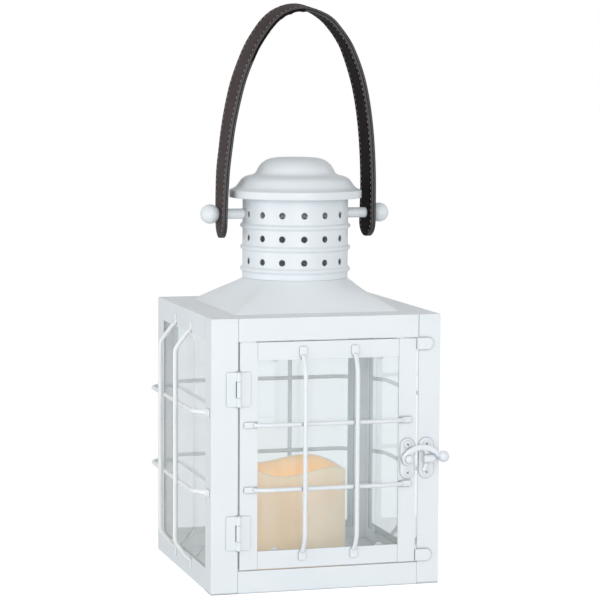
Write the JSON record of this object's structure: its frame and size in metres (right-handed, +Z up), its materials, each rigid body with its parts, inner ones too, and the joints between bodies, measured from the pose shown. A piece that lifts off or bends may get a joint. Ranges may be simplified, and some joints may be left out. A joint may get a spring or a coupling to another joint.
{
  "type": "candle lantern",
  "caption": "Square white steel candle lantern with latched glass door, guard rods, vented round chimney and cap, leather strap and battery pillar candle.",
  "frame": {"origin": "middle of the floor plate's underside", "axes": "+Z up, the door faces -Y, hinges on the -X side"},
  "size_m": [0.2064, 0.2021, 0.4388],
  "materials": {
    "white_paint": "semi-gloss white powder coat, very slightly cool",
    "clear_glass": "clear float glass with a faint green edge",
    "brown_leather": "dark brown smooth leather with stitched, painted edges",
    "lining_leather": "dark brown lining leather",
    "ivory_wax": "ivory wax, satin",
    "ivory_plastic": "moulded ivory plastic",
    "cell_jacket": "plain dark printed film on a steel can",
    "contact_plating": "nickel-plated spring steel",
    "warm_lamp": "warm diffused lamp lens",
    "board_green": "green circuit board",
    "black_plastic": "moulded black plastic"
  },
  "bodies": {
    "lantern": {"hinge_post": "white_paint", "latch_post": "white_paint", "rear_left_post": "white_paint", "rear_right_post": "white_paint", "front_top_rail": "white_paint", "front_bottom_rail": "white_paint", "back_top_rail": "white_paint", "back_bottom_rail": "white_paint", "left_top_rail": "white_paint", "left_bottom_rail": "white_paint", "right_top_rail": "white_paint", "right_bottom_rail": "white_paint", "floor_plate": "white_paint", "roof_sheet": "white_paint", "chimney": "white_paint", "vent_cap": "white_paint", "handle_rod": "white_paint", "left_finial": "white_paint", "right_finial": "white_paint", "left_pane": "clear_glass", "right_pane": "clear_glass", "back_pane": "clear_glass", "left_pane_tabs": "white_paint", "right_pane_tabs": "white_paint", "back_pane_tabs": "white_paint", "left_upright_rods": "white_paint", "left_cross_rods": "white_paint", "right_upright_rods": "white_paint", "right_cross_rods": "white_paint", "back_upright_rods": "white_paint", "back_cross_rods": "white_paint", "frame_hinge_leaves": "white_paint", "hinge_pins": "white_paint", "keeper": "white_paint", "keeper_screws": "white_paint"},
    "door": {"door_hinge_stile": "white_paint", "door_latch_stile": "white_paint", "door_top_rail": "white_paint", "door_bottom_rail": "white_paint", "door_pane": "clear_glass", "door_pane_tabs": "white_paint", "door_upright_rods": "white_paint", "door_cross_rods": "white_paint", "door_stop_tabs": "white_paint", "door_hinge_leaves": "white_paint", "latch_plate": "white_paint", "latch_screws": "white_paint", "latch_rivet": "white_paint"},
    "latch": {"latch_arm": "white_paint"},
    "strap": {"strap_leather": "brown_leather", "strap_lining": "lining_leather"},
    "candle": {"candle_wax": "ivory_wax", "candle_base": "ivory_plastic", "battery_cover": "ivory_plastic", "battery_cells": "cell_jacket", "battery_contacts": "contact_plating", "candle_lamp": "warm_lamp", "lamp_board": "board_green"},
    "switch": {"candle_switch": "black_plastic"}
  },
  "joints": [
    {"name": "door_hinge", "type": "hinge", "parent": "lantern", "child": "door", "pos_m": [-0.0684, -0.0914, 0.1], "axis": [0, 0, -1], "range_deg": [0, 120]},
    {"name": "latch_pivot", "type": "hinge", "parent": "door", "child": "latch", "pos_m": [0.0631, -0.0935, 0.097], "axis": [0, -1, 0], "range_deg": [0, 65]},
    {"name": "strap_swing", "type": "hinge", "parent": "lantern", "child": "strap", "pos_m": [0, 0, 0.2778], "axis": [1, 0, 0], "range_deg": [-110, 110]},
    {"name": "candle_lift", "type": "slide", "parent": "lantern", "child": "candle", "axis": [0, 0, 1], "range_m": [0, 0.06]},
    {"name": "switch_slide", "type": "slide", "parent": "candle", "child": "switch", "axis": [1, 0, 0], "range_m": [0, 0.004]}
  ]
}
